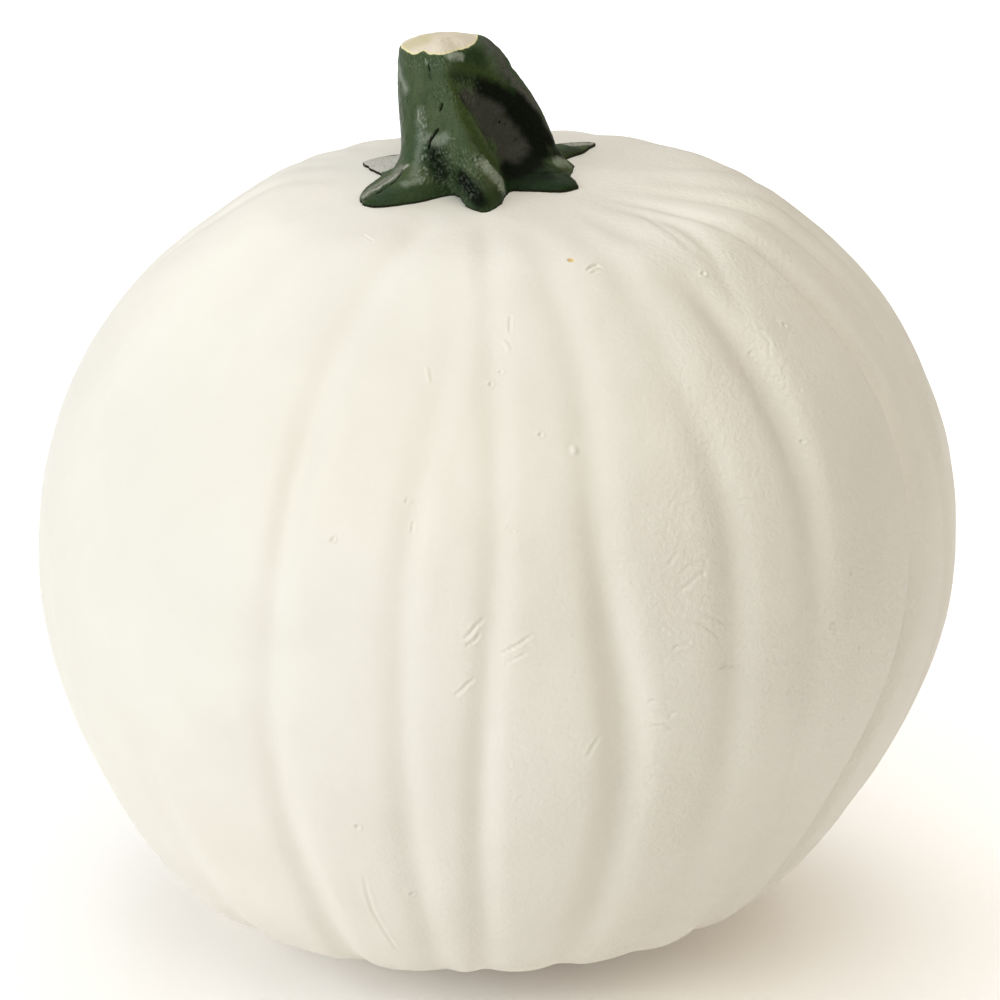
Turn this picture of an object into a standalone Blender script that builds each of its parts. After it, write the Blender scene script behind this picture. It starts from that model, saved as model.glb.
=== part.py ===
"""A craft pumpkin for carving: one pale moulded fruit and a painted stem that stands on its crown.

The fruit is a turned body with a fuller right side, a flat ring that it stands on, and meridian
grooves that each have their own azimuth, depth and width. The stem is lofted through a spreading
foot with six toes, a ribbed trunk and a tilted cut face.

Azimuths are in degrees, 0 at the front (-Y) and growing towards the right (+X), about the fruit's
own axis. Lengths are in millimetres until a mesh is written, and in metres from there on. The origin
is on the ground, under the middle of the fruit's outline.
"""
import bpy
import numpy as np

MM = 0.001

# Where the fruit's axis stands, beside the middle of its outline
AXIS_X = -4.1

# Fruit: radius and height of its meridian, from the middle of the base to the middle of the crown
BODY_MERIDIAN = (
    (0.0, 4.0),
    (34.0, -0.4),
    (69.5, 13.0),
    (93.0, 31.0),
    (120.0, 92.5),
    (108.5, 159.0),
    (75.5, 194.5),
    (51.0, 204.5),
    (0.0, 207.0),
)
BODY_HEIGHT = BODY_MERIDIAN[-1][1]
# Share of the radius by which the right side is fuller than round, evenly spaced from base to crown
FULLER_RIGHT = (0.0, -0.03, -0.01, 0.03, 0.06, 0.11, 0.0)

# Grooves: how far up the meridian each column of the lists below is, as a share of it
GROOVE_STATIONS = (0.36, 0.45, 0.52, 0.60, 0.69, 0.77, 0.86)
# Grooves of the front: azimuths at those stations, depths at the same stations, half width
FRONT_GROOVES = (
    ((-71, -72, -72, -71, -70, -70, -69), (0.3, 0.4, 0.5, 0.4, 0.2, 0.1, 0.1), 3.5),
    ((-64, -66, -66, -65, -66.5, -66.5, -63), (0.3, 0.4, 0.5, 0.4, 0.2, 0.2, 0.2), 3.5),
    ((-46, -48, -49, -47, -46, -45.5, -44), (1.2, 1.0, 0.3, 0.3, 0.2, 0.2, 0.4), 5.0),
    ((-23.3, -24.8, -25.5, -24.8, -24.4, -22.6, -19), (2.6, 2.3, 1.5, 1.7, 1.7, 1.4, 1.1), 4.4),
    ((-7, -8.5, -9, -8.5, -5.4, -4.5, -6), (1.5, 2.0, 1.5, 1.1, 0.5, 0.2, 0.0), 4.0),
    ((1, 0.1, 0.6, 2, 2.1, 2, 2), (1.4, 2.2, 2.0, 1.4, 0.8, 0.8, 1.1), 3.8),
    ((15.5, 17, 16.7, 14.9, 15.6, 14.9, 15.2), (1.8, 3.6, 4.2, 2.5, 1.1, 0.9, 0.6), 4.9),
    ((30, 30.5, 30.5, 31.3, 30, 29.3, 29), (0.4, 1.2, 1.8, 1.9, 0.7, 0.6, 0.7), 5.0),
    ((43, 42.8, 42, 43.5, 43.6, 41.6, 40), (1.6, 1.6, 1.2, 2.6, 3.0, 0.9, 0.5), 4.8),
    ((45.5, 47, 49, 50, 47, 50.5, 55), (0.0, 0.0, 0.0, 0.0, 0.3, 0.8, 1.1), 3.2),
    ((54, 54.8, 60, 65.3, 66.5, 65.8, 64), (2.2, 2.6, 2.5, 2.2, 2.1, 1.9, 1.5), 3.0),
    ((70, 71, 73, 76, 79.5, 80, 78), (1.2, 1.3, 1.3, 1.3, 1.2, 1.1, 0.8), 3.6),
)
# Grooves of the back: evenly placed, then moved a little, with depths and half widths in these ranges
BACK_GROOVES = np.linspace(93.0, 262.8, 13)
BACK_GROOVE_SEED = 12
BACK_GROOVE_SHIFT = 2.5
BACK_GROOVE_WANDER = 1.0
BACK_GROOVE_DEPTH = (0.8, 2.2)
BACK_DEPTH_CHANGE = 0.3
BACK_DEPTH_SHARES = (0.9, 1.0, 1.0, 0.9, 0.7, 0.5, 0.3)
BACK_GROOVE_WIDTH = (4.0, 6.0)
# Shares of the meridian over which a groove runs out, towards the base ring and under the stem
GROOVE_BASE_FADE = (0.10, 0.26)
GROOVE_CROWN_FADE = (0.94, 0.86)

# Fruit's mesh: rows of points and where they start and end, and columns across each lobe
BODY_ROWS = 33
BODY_ROW_RANGE = (0.03, 0.962)
LOBE_COLUMNS = (0.0, 0.11, 0.29, 0.5, 0.71, 0.89)

# Stem's foot, round its outline: azimuth, reach from the fruit's axis, and height of the toe there
STEM_FOOT = (
    (-135, 28.0, 2.0),
    (-115, 33.5, 2.0),
    (-98, 26.5, 2.0),
    (-80, 27.5, 2.5),
    (-62, 34.5, 3.5),
    (-51, 37.5, 4.2),
    (-40, 32.0, 5.0),
    (-20, 19.0, 7.0),
    (-8, 26.0, 8.5),
    (2, 31.5, 9.5),
    (12, 24.3, 8.5),
    (30, 16.0, 6.0),
    (45, 19.5, 4.0),
    (60, 25.5, 3.5),
    (90, 23.5, 2.5),
    (118, 25.5, 2.5),
    (130, 31.0, 2.0),
    (140, 46.8, 1.6),
    (150, 31.0, 2.0),
    (166, 22.0, 4.0),
    (190, 31.0, 4.0),
    (208, 22.0, 3.0),
)
# Stem's trunk: azimuth and radius round its section at the foot, halfway up and at the cut face
TRUNK_LOW = (
    (-150, 17.0),
    (-110, 18.0),
    (-85, 18.0),
    (-58, 19.5),
    (-25, 17.2),
    (8, 19.5),
    (32, 13.5),
    (60, 12.5),
    (85, 17.0),
    (108, 21.5),
    (135, 21.5),
    (165, 17.0),
    (190, 18.5),
)
TRUNK_MIDDLE = (
    (-150, 14.0),
    (-115, 15.5),
    (-88, 15.8),
    (-55, 15.6),
    (-30, 14.8),
    (-5, 15.0),
    (18, 12.8),
    (45, 10.4),
    (70, 12.8),
    (97, 19.5),
    (125, 18.2),
    (160, 14.0),
    (190, 14.5),
)
TRUNK_TOP = (
    (-150, 10.0),
    (-110, 10.8),
    (-76, 10.3),
    (-45, 10.4),
    (-20, 9.8),
    (0, 9.8),
    (15, 9.3),
    (35, 8.2),
    (60, 9.2),
    (88, 10.8),
    (110, 11.6),
    (140, 11.2),
    (165, 10.3),
    (190, 10.0),
)
TRUNK_OUTLINES = (TRUNK_LOW, TRUNK_MIDDLE, TRUNK_TOP)
STEM_HEIGHT = 33.7
# Where the middle of the cut face is from the fruit's axis, to the right and to the back
STEM_LEAN = (-10.3, 3.0)
# How much the cut face climbs to the right, and how far its middle stands up
CUT_FACE_SLOPE = 0.04
CUT_FACE_DOME = 2.4
# How quickly a toe thins into the trunk above its own height
TOE_FALL = 2.2
RIM_ROUNDING = 0.8
RIM_SHARPNESS = 40
# The foot follows the crown up to this share of the stem's height
FOOT_SHARE = 0.5
# Clear space between the stem and the crown
CONTACT_GAP = 0.35

# Stem's mesh: heights of its rings, columns round it, and rings of its cut face and underside
STEM_LEVELS = (0.0, 0.6, 1.4, 2.4, 3.6, 5.0, 6.8, 9.0, 11.6, 14.8, 18.6, 22.8, 26.8, 30.6, 32.8, STEM_HEIGHT)
STEM_COLUMNS = 90
CUT_FACE_RINGS = (0.72, 0.38)
UNDERSIDE_RINGS = (0.25, 0.5, 0.75)

SKIN_COLOUR = (0.86, 0.83, 0.74, 1.0)
SKIN_ROUGHNESS = 0.6
PAINT_COLOUR = (0.030, 0.065, 0.030, 1.0)
PAINT_ROUGHNESS = 0.35


def natural_spline(knots, values, x):
    """Natural cubic curve through the values at the knots, held level past both ends."""
    knots = np.asarray(knots, float)
    values = np.asarray(values, float)
    step = np.diff(knots)
    slope = np.diff(values) / step
    count = len(knots)
    matrix = np.eye(count)
    right = np.zeros(count)
    for i in range(1, count - 1):
        matrix[i, i - 1 : i + 2] = step[i - 1], 2 * (step[i - 1] + step[i]), step[i]
        right[i] = 6 * (slope[i] - slope[i - 1])
    bend = np.linalg.solve(matrix, right)
    x = np.clip(x, knots[0], knots[-1])
    k = np.clip(np.searchsorted(knots, x, side="right") - 1, 0, count - 2)
    low = (knots[k + 1] - x) / step[k]
    high = (x - knots[k]) / step[k]
    curve = ((low**3 - low) * bend[k] + (high**3 - high) * bend[k + 1]) * step[k] ** 2 / 6
    return low * values[k] + high * values[k + 1] + curve


def closed_spline(azimuths, values, x):
    """The same curve round a closed outline, through values at azimuths in rising order."""
    azimuths = np.asarray(azimuths, float)
    knots = np.concatenate((azimuths - 360, azimuths, azimuths + 360))
    x = (x - azimuths[0]) % 360 + azimuths[0]
    return natural_spline(knots, np.tile(values, 3), x)


def smooth_step(start, end, x):
    """0 at start, 1 at end and level past both; start may be the larger."""
    share = np.clip((x - start) / (end - start), 0, 1)
    return share * share * (3 - 2 * share)


def meridian(share, azimuth):
    """Radius and height of the fruit without its grooves, at a share of the meridian."""
    knots = np.linspace(0, 1, len(BODY_MERIDIAN))
    radius = natural_spline(knots, [point[0] for point in BODY_MERIDIAN], share)
    height = natural_spline(knots, [point[1] for point in BODY_MERIDIAN], share)
    fuller = natural_spline(np.linspace(0, 1, len(FULLER_RIGHT)), FULLER_RIGHT, share)
    return radius * (1 + fuller * np.sin(np.radians(azimuth))), height


def back_grooves():
    """The grooves that the front doesn't show, by one rule and a fixed seed."""
    draw = np.random.default_rng(BACK_GROOVE_SEED)
    stations = len(GROOVE_STATIONS)
    grooves = []
    for middle in BACK_GROOVES:
        middle = middle + draw.uniform(-BACK_GROOVE_SHIFT, BACK_GROOVE_SHIFT)
        azimuths = middle + draw.uniform(-BACK_GROOVE_WANDER, BACK_GROOVE_WANDER, stations)
        depth = draw.uniform(*BACK_GROOVE_DEPTH)
        change = draw.uniform(-BACK_DEPTH_CHANGE, BACK_DEPTH_CHANGE, stations)
        depths = (depth + change) * np.array(BACK_DEPTH_SHARES)
        grooves.append((azimuths, depths, draw.uniform(*BACK_GROOVE_WIDTH)))
    return grooves


def groove_azimuth(groove, share):
    return natural_spline(GROOVE_STATIONS, groove[0], share)


def groove_depth(groove, share):
    fade = smooth_step(*GROOVE_BASE_FADE, share) * smooth_step(*GROOVE_CROWN_FADE, share)
    return natural_spline(GROOVE_STATIONS, groove[1], share) * fade


def fruit_surface(share, azimuth, grooves):
    """Points of the skin at shares of the meridian and azimuths, cut level where it stands."""
    radius, height = meridian(share, azimuth)
    inward = np.zeros_like(radius)
    for groove in grooves:
        away = (azimuth - groove_azimuth(groove, share) + 180) % 360 - 180
        across = np.radians(away) * radius / groove[2]
        inward += groove_depth(groove, share) * np.exp(-(across**2))
    # A groove is sunk square to the skin, so it lowers the crown and lifts the underside too
    nudge = 0.004
    ahead = meridian(share + nudge, azimuth)
    behind = meridian(share - nudge, azimuth)
    along_r, along_z = ahead[0] - behind[0], ahead[1] - behind[1]
    length = np.hypot(along_r, along_z)
    radius = radius - inward * along_z / length
    height = height + inward * along_r / length
    turn = np.radians(azimuth)
    return np.stack((radius * np.sin(turn), -radius * np.cos(turn), np.maximum(height, 0)), axis=-1)


def even_shares(count, start, end):
    """Shares of the meridian, evenly spaced along its length."""
    fine = np.linspace(start, end, 400)
    radius, height = meridian(fine, 0.0)
    run = np.concatenate(([0.0], np.cumsum(np.hypot(np.diff(radius), np.diff(height)))))
    return np.interp(np.linspace(0, run[-1], count), run, fine)


def fruit_columns(share, grooves):
    """Azimuths of one row of the mesh: a column down each groove, and some across each lobe."""
    starts = np.array([groove_azimuth(groove, share) for groove in grooves])
    ends = np.append(starts[1:], starts[0] + 360)
    return (starts[:, None] + (ends - starts)[:, None] * np.array(LOBE_COLUMNS)).ravel()


def crown_height(x, y):
    """Height of the fruit's crown at a point of the plan, found by halving."""
    azimuth = np.degrees(np.arctan2(x, -y))
    reach = np.hypot(x, y)
    low = np.full_like(reach, 0.78)
    high = np.ones_like(reach)
    for _ in range(30):
        middle = (low + high) / 2
        beyond = meridian(middle, azimuth)[0] > reach
        low = np.where(beyond, middle, low)
        high = np.where(beyond, high, middle)
    return meridian((low + high) / 2, azimuth)[1]


def stem_radius(azimuth, level):
    """Radius of the stem about its leaning middle, at a height over the crown."""
    rise = level / STEM_HEIGHT
    low, middle, top = (closed_spline(*zip(*outline), azimuth) for outline in TRUNK_OUTLINES)
    # One parabola passes through the three sections
    trunk = low * (1 - rise) * (1 - 2 * rise) + middle * 4 * rise * (1 - rise) + top * rise * (2 * rise - 1)
    toes, reaches, heights = zip(*STEM_FOOT)
    reach = closed_spline(toes, reaches, azimuth)
    toe_height = closed_spline(toes, heights, azimuth)
    flare = 1 / (1 + (level / toe_height) ** TOE_FALL)
    return trunk + (reach - trunk) * flare - RIM_ROUNDING * rise**RIM_SHARPNESS


def stem_ring(azimuths, level, scale=1.0):
    """A ring of the stem's side, or when scaled down one of its underside or cut face."""
    rise = level / STEM_HEIGHT
    radius = stem_radius(azimuths, level) * scale
    turn = np.radians(azimuths)
    x = STEM_LEAN[0] * rise + radius * np.sin(turn)
    y = STEM_LEAN[1] * rise - radius * np.cos(turn)
    lifted = smooth_step(0, FOOT_SHARE, rise)
    ground = crown_height(x, y) * (1 - lifted) + BODY_HEIGHT * lifted
    slope = CUT_FACE_SLOPE * (x - STEM_LEAN[0]) * rise
    return np.stack((x, y, ground + CONTACT_GAP + level + slope), axis=-1)


def lofted_object(name, rings, material):
    """A closed mesh over rings of points in millimetres, each ring running to the right as seen
    from the front, with its first and last ring closed to their own middles."""
    columns = len(rings[0])
    points = np.concatenate(rings + [rings[0].mean(axis=0)[None], rings[-1].mean(axis=0)[None]])
    first_middle = len(points) - 2
    last_middle = len(points) - 1
    last_ring = (len(rings) - 1) * columns
    faces = []
    for column in range(columns):
        after = (column + 1) % columns
        for start in range(0, last_ring, columns):
            above = start + columns
            faces.append((start + column, start + after, above + after, above + column))
        faces.append((first_middle, after, column))
        faces.append((last_middle, last_ring + column, last_ring + after))
    mesh = bpy.data.meshes.new(name)
    mesh.from_pydata((points * MM).tolist(), [], faces)
    mesh.materials.append(material)
    mesh.shade_smooth()
    item = bpy.data.objects.new(name, mesh)
    item.location = (AXIS_X * MM, 0, 0)
    bpy.context.scene.collection.objects.link(item)
    return item


def make_fruit(material):
    grooves = list(FRONT_GROOVES) + back_grooves()
    rings = []
    for share in even_shares(BODY_ROWS, *BODY_ROW_RANGE):
        azimuths = fruit_columns(share, grooves)
        rings.append(fruit_surface(np.full_like(azimuths, share), azimuths, grooves))
    return lofted_object("body", rings, material)


def make_stem(material):
    azimuths = np.linspace(-180, 180, STEM_COLUMNS, endpoint=False)
    rings = [stem_ring(azimuths, 0.0, scale) for scale in UNDERSIDE_RINGS]
    rings += [stem_ring(azimuths, level) for level in STEM_LEVELS]
    for scale in CUT_FACE_RINGS:
        ring = stem_ring(azimuths, STEM_HEIGHT, scale)
        ring[:, 2] += CUT_FACE_DOME * (1 - scale**2)
        rings.append(ring)
    return lofted_object("stem", rings, material)


def make_material(name, colour, roughness):
    material = bpy.data.materials.new(name)
    material.use_nodes = True
    shader = material.node_tree.nodes["Principled BSDF"]
    shader.inputs["Base Color"].default_value = colour
    shader.inputs["Roughness"].default_value = roughness
    shader.inputs["Metallic"].default_value = 0.0
    return material


def main():
    for item in list(bpy.data.objects):
        bpy.data.objects.remove(item)
    make_fruit(make_material("skin", SKIN_COLOUR, SKIN_ROUGHNESS))
    make_stem(make_material("stem_paint", PAINT_COLOUR, PAINT_ROUGHNESS))


main()
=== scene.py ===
"""Looks of the artificial carving pumpkin: its moulded ivory skin and its painted stem.

Both pieces follow the formulas of the solids that they replace, on a finer mesh, and add the
creases, pits, brush marks and paint of the real thing, and on the stem painted shade, sheen and
highlights. Small marks are placed where the photo shows them, by pixels of its 1000 x 1000 frame
that are carried back on to the surface through the same camera.

Azimuths are in degrees, 0 at the front (-Y) and growing to the right. A share says how far along
the fruit's outline a point is, 0 under its middle and 1 on the crown. Lengths are in millimetres
until a mesh is written.
"""

import math

import bmesh
import bpy
import numpy as np
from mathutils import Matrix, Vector

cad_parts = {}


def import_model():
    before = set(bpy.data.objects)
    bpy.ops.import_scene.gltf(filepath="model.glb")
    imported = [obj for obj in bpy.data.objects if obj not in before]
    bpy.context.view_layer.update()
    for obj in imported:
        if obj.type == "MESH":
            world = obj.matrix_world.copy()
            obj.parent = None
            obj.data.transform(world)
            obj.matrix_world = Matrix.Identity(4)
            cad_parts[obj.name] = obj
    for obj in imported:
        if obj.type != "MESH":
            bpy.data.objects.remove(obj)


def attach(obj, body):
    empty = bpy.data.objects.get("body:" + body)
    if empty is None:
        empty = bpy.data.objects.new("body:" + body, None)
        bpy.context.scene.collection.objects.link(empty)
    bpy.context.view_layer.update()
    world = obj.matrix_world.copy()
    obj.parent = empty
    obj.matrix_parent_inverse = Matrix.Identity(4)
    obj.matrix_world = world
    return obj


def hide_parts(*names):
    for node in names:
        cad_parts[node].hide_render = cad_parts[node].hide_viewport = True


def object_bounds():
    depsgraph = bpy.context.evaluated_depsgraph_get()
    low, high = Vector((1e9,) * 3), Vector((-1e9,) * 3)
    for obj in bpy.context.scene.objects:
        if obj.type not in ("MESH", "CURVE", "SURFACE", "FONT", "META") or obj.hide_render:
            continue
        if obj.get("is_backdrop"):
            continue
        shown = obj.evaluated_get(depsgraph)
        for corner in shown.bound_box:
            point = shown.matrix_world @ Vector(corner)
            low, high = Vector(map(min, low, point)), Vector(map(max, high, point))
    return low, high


MM = 0.001
TINY = 1e-9

# The fruit's axis crosses X here
AXIS_X = -4.1

# Camera: height angle, distance, and the pixel that the point AIM on the axis is seen at
CAMERA_ELEVATION = math.radians(20)
CAMERA_DISTANCE = 1200.0
AIM = np.array((AXIS_X, 0.0, 103.8))
AIM_PIXEL = (481.6, 549.0)
PIXELS_PER_MM = 452.6 / 120
FRAME_PIXELS = 1000
SENSOR_WIDTH = 36

# Finding the point seen at a pixel: pixels that it may lie off, how many more than the nearest one,
# and millimetres behind the foremost point
PIXEL_REACH = 1.2
PIXEL_SLACK = 0.3
FRONT_DEPTH = 4.0
SEEN_SHARES = (0.2, 0.95, 900)
SEEN_AZIMUTHS = (-90, 90, 1100)

# Fruit: the solid's outline as radius and height, how much fuller its right side is, and the solid's
# grooves with depths tuned a little further. A groove is its azimuths and depths at the stations,
# which are shares, and its width
BODY_MERIDIAN = (
    (0.0, 4.0),
    (34.0, -0.4),
    (69.5, 13.0),
    (93.0, 31.0),
    (120.0, 92.5),
    (108.5, 159.0),
    (75.5, 194.5),
    (51.0, 204.5),
    (0.0, 207.0),
)
BODY_HEIGHT = BODY_MERIDIAN[-1][1]
FULLER_RIGHT = (0.0, -0.03, -0.01, 0.03, 0.06, 0.11, 0.0)
GROOVE_STATIONS = (0.36, 0.45, 0.52, 0.60, 0.69, 0.77, 0.86)
FRONT_GROOVES = (
    ((-71, -72, -72, -71, -70, -70, -69), (0.3, 0.4, 0.5, 0.4, 0.2, 0.0, 0.1), 3.5),
    ((-64, -66, -66, -65, -66.5, -66.5, -63), (0.3, 0.4, 0.5, 0.4, 0.3, 0.1, 0.2), 3.5),
    ((-46, -48, -49, -47, -46, -45.5, -44), (1.4, 1.1, 0.1, 0.4, 0.3, 0.2, 0.5), 5.0),
    ((-23.3, -24.8, -25.5, -24.8, -24.4, -22.6, -19), (2.0, 2.05, 1.3, 1.8, 1.75, 1.15, 1.05), 4.4),
    ((-7, -8.5, -9, -8.5, -5.4, -4.5, -6), (1.2, 1.4, 1.2, 0.8, 0.4, 0.1, 0.0), 4.0),
    ((1, 0.1, 0.6, 2, 2.1, 2, 2), (1.1, 1.8, 1.8, 1.0, 0.72, 0.65, 0.9), 3.8),
    ((15.5, 17, 16.7, 14.6, 15.6, 14.7, 15.2), (1.2, 3.9, 4.4, 1.9, 0.9, 0.7, 0.4), 4.9),
    ((30, 30.5, 30.5, 31.5, 30, 29.3, 29), (0.6, 1.5, 1.9, 1.7, 0.5, 0.7, 0.5), 5.0),
    ((43, 42.8, 42, 43.7, 43.6, 41.6, 40.6), (2.2, 2.6, 1.5, 2.9, 3.6, 0.55, 0.8), 4.8),
    ((45.5, 47, 49, 50, 47, 50.5, 55.4), (0.0, 0.0, 0.0, 0.0, 0.3, 0.65, 0.9), 3.2),
    ((54.3, 54.8, 60, 65.3, 66.5, 65.8, 64), (3.0, 3.8, 3.0, 3.2, 3.0, 2.3, 1.4), 3.0),
    ((70, 71, 73, 76, 79.5, 80, 78), (1.2, 1.3, 1.3, 1.6, 1.6, 1.5, 0.8), 3.6),
)

# Grooves of the back: azimuths before they are shifted, and ranges of what is drawn for each
BACK_GROOVES = np.linspace(93.0, 262.8, 13)
BACK_GROOVE_SEED = 12
BACK_GROOVE_SHIFT = 2.5
BACK_GROOVE_WANDER = 1.0
BACK_GROOVE_DEPTH = (0.8, 2.2)
BACK_DEPTH_CHANGE = 0.3
BACK_DEPTH_SHARES = (0.9, 1.0, 1.0, 0.9, 0.7, 0.5, 0.3)
BACK_GROOVE_WIDTH = (4.0, 6.0)
GROOVE_BASE_FADE = (0.10, 0.26)
GROOVE_CROWN_FADE = (0.94, 0.86)

# Skin's mesh: rows and their first and last share, degrees between columns in front of and behind
# FINE_AZIMUTH, and how far it lies inside the solid's skin
SKIN_ROWS = 190
SKIN_SHARES = (0.012, 0.985)
FINE_AZIMUTH = 100.0
FINE_STEP = 0.72
COARSE_STEP = 1.25
SKIN_INSET = 0.10

# It is cut finer within this many widths of a mark and this many millimetres more
MARK_CUTS = 3
MARK_MARGIN = 2.6
MARK_BORDER = 0.9

# Small steps that normals are taken over: share along the outline, and share and azimuth on the skin
MERIDIAN_NUDGE = 0.004
SHARE_NUDGE = 0.0002
AZIMUTH_NUDGE = 0.03

# Finding the crown's height: the lowest share that it can have, and how often the range is halved
CROWN_SHARE = 0.78
HALVINGS = 30

# Stem, as in the solid: azimuth, reach and height of the foot's toes and of the gaps between them,
# and azimuth and radius of the trunk's outlines
STEM_FOOT = (
    (-135, 28.0, 2.0),
    (-115, 33.5, 2.0),
    (-98, 26.5, 2.0),
    (-80, 27.5, 2.5),
    (-62, 34.5, 3.5),
    (-51, 37.5, 4.2),
    (-40, 32.0, 5.0),
    (-20, 19.0, 7.0),
    (-8, 26.0, 8.5),
    (2, 31.5, 9.5),
    (12, 24.3, 8.5),
    (30, 16.0, 6.0),
    (45, 19.5, 4.0),
    (60, 25.5, 3.5),
    (90, 23.5, 2.5),
    (118, 25.5, 2.5),
    (130, 31.0, 2.0),
    (140, 46.8, 1.6),
    (150, 31.0, 2.0),
    (166, 22.0, 4.0),
    (190, 31.0, 4.0),
    (208, 22.0, 3.0),
)
TRUNK_LOW = (
    (-150, 17.0),
    (-110, 18.0),
    (-85, 18.0),
    (-58, 19.5),
    (-25, 17.2),
    (8, 19.5),
    (32, 13.5),
    (60, 12.5),
    (85, 17.0),
    (108, 21.5),
    (135, 21.5),
    (165, 17.0),
    (190, 18.5),
)
TRUNK_MIDDLE = (
    (-150, 14.0),
    (-115, 15.5),
    (-88, 15.8),
    (-55, 15.6),
    (-30, 14.8),
    (-5, 15.0),
    (18, 12.8),
    (45, 10.4),
    (70, 12.8),
    (97, 19.5),
    (125, 18.2),
    (160, 14.0),
    (190, 14.5),
)
TRUNK_TOP = (
    (-150, 10.0),
    (-110, 10.8),
    (-76, 10.3),
    (-45, 10.4),
    (-20, 9.8),
    (0, 9.8),
    (15, 9.3),
    (35, 8.2),
    (60, 9.2),
    (88, 10.8),
    (110, 11.6),
    (140, 11.2),
    (165, 10.3),
    (190, 10.0),
)
TRUNK_OUTLINES = (TRUNK_LOW, TRUNK_MIDDLE, TRUNK_TOP)
STEM_HEIGHT = 33.7
STEM_LEAN = (-10.3, 3.0)
CUT_FACE_SLOPE = 0.04
CUT_FACE_DOME = 2.4
TOE_FALL = 2.2
RIM_ROUNDING = 0.8
RIM_SHARPNESS = 40
FOOT_SHARE = 0.5

# Stem's mesh: degrees between columns in front of and behind STEM_FRONT, rows up its side and over
# its cut face, and how far it sinks in
STEM_FRONT = (-62.0, 64.0)
STEM_FINE_STEP = 0.62
STEM_COARSE_STEP = 1.1
STEM_ROWS = 184
STEM_ROW_CROWDING = 1.7
RIM_ROWS = (0.08, 0.2, 0.4, 0.52)
CUT_FACE_ROWS = 26
CUT_FACE_CROWDING = 1.5
CUT_FACE_HOLE = 0.03
STEM_SINK = 0.9


def natural_spline(knots, values, x):
    """Natural cubic curve through the values at the knots, held level past both ends."""
    knots = np.asarray(knots, float)
    values = np.asarray(values, float)
    step = np.diff(knots)
    slope = np.diff(values) / step
    count = len(knots)
    matrix = np.eye(count)
    right = np.zeros(count)
    for i in range(1, count - 1):
        matrix[i, i - 1 : i + 2] = step[i - 1], 2 * (step[i - 1] + step[i]), step[i]
        right[i] = 6 * (slope[i] - slope[i - 1])
    bend = np.linalg.solve(matrix, right)
    x = np.clip(x, knots[0], knots[-1])
    k = np.clip(np.searchsorted(knots, x, side="right") - 1, 0, count - 2)
    low = (knots[k + 1] - x) / step[k]
    high = (x - knots[k]) / step[k]
    curve = ((low**3 - low) * bend[k] + (high**3 - high) * bend[k + 1]) * step[k] ** 2 / 6
    return low * values[k] + high * values[k + 1] + curve


def closed_spline(azimuths, values, x):
    """The same curve round a closed outline, through values at azimuths in rising order."""
    azimuths = np.asarray(azimuths, float)
    knots = np.concatenate((azimuths - 360, azimuths, azimuths + 360))
    x = (x - azimuths[0]) % 360 + azimuths[0]
    return natural_spline(knots, np.tile(values, 3), x)


def smooth_step(start, end, x):
    """0 at start, 1 at end and level past both; start may be the larger."""
    share = np.clip((x - start) / (end - start), 0, 1)
    return share * share * (3 - 2 * share)


WAVE_LENGTHS = (0.7, 1.5)


def waves(points, length, seed, count=28):
    """Smooth unevenness of about unit size at points, with crests about a length apart."""
    draw = np.random.default_rng(seed)
    total = np.zeros(len(points))
    for _ in range(count):
        direction = draw.normal(size=3)
        wave_length = length * draw.uniform(*WAVE_LENGTHS)
        direction *= 2 * np.pi / (wave_length * np.linalg.norm(direction))
        total += np.sin(points @ direction + draw.uniform(0, 2 * np.pi))
    return total / math.sqrt(count / 2)


def unevenness(points, layers):
    """Sum of layers of waves: height, crest length and seed of each."""
    total = np.zeros(len(points))
    for height, length, seed in layers:
        total += height * waves(points, length, seed)
    return total


def camera_axes():
    """The camera's right, up and ahead."""
    sine, cosine = math.sin(CAMERA_ELEVATION), math.cos(CAMERA_ELEVATION)
    return np.array((1.0, 0, 0)), np.array((0, sine, cosine)), np.array((0, cosine, -sine))


def frame_centre():
    """The point that the camera, which looks level with AIM but beside it, has in mid-frame."""
    right, up, _ = camera_axes()
    shift = (FRAME_PIXELS / 2 - AIM_PIXEL[0]) / PIXELS_PER_MM
    lift = (AIM_PIXEL[1] - FRAME_PIXELS / 2) / PIXELS_PER_MM
    return AIM + right * shift + up * lift


def to_pixels(points):
    """Pixels of the photo's frame, and distance, of points in the row frame."""
    right, up, ahead = camera_axes()
    away = points - frame_centre()
    distance = CAMERA_DISTANCE + away @ ahead
    scale = PIXELS_PER_MM * CAMERA_DISTANCE / distance
    u = FRAME_PIXELS / 2 + away @ right * scale
    v = FRAME_PIXELS / 2 - away @ up * scale
    return np.stack((u, v), axis=-1), distance


class Seen:
    """Finds the point of a surface that the camera sees at a pixel."""

    def __init__(self, points):
        self.points = points
        self.pixels, self.distance = to_pixels(points)

    def point(self, pixel):
        miss = np.hypot(*(self.pixels - pixel).T)
        near = np.flatnonzero(miss < max(PIXEL_REACH, miss.min() + PIXEL_SLACK))
        front = self.distance[near].min()
        near = near[self.distance[near] < front + FRONT_DEPTH]
        return self.points[near[np.argmin(miss[near])]]

    def line(self, pixels):
        return np.array([self.point(np.array(pixel, float)) for pixel in pixels])


def meridian(share, azimuth):
    """Radius and height of the fruit without its grooves, at a share of the meridian."""
    knots = np.linspace(0, 1, len(BODY_MERIDIAN))
    radius = natural_spline(knots, [point[0] for point in BODY_MERIDIAN], share)
    height = natural_spline(knots, [point[1] for point in BODY_MERIDIAN], share)
    fuller = natural_spline(np.linspace(0, 1, len(FULLER_RIGHT)), FULLER_RIGHT, share)
    return radius * (1 + fuller * np.sin(np.radians(azimuth))), height


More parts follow.
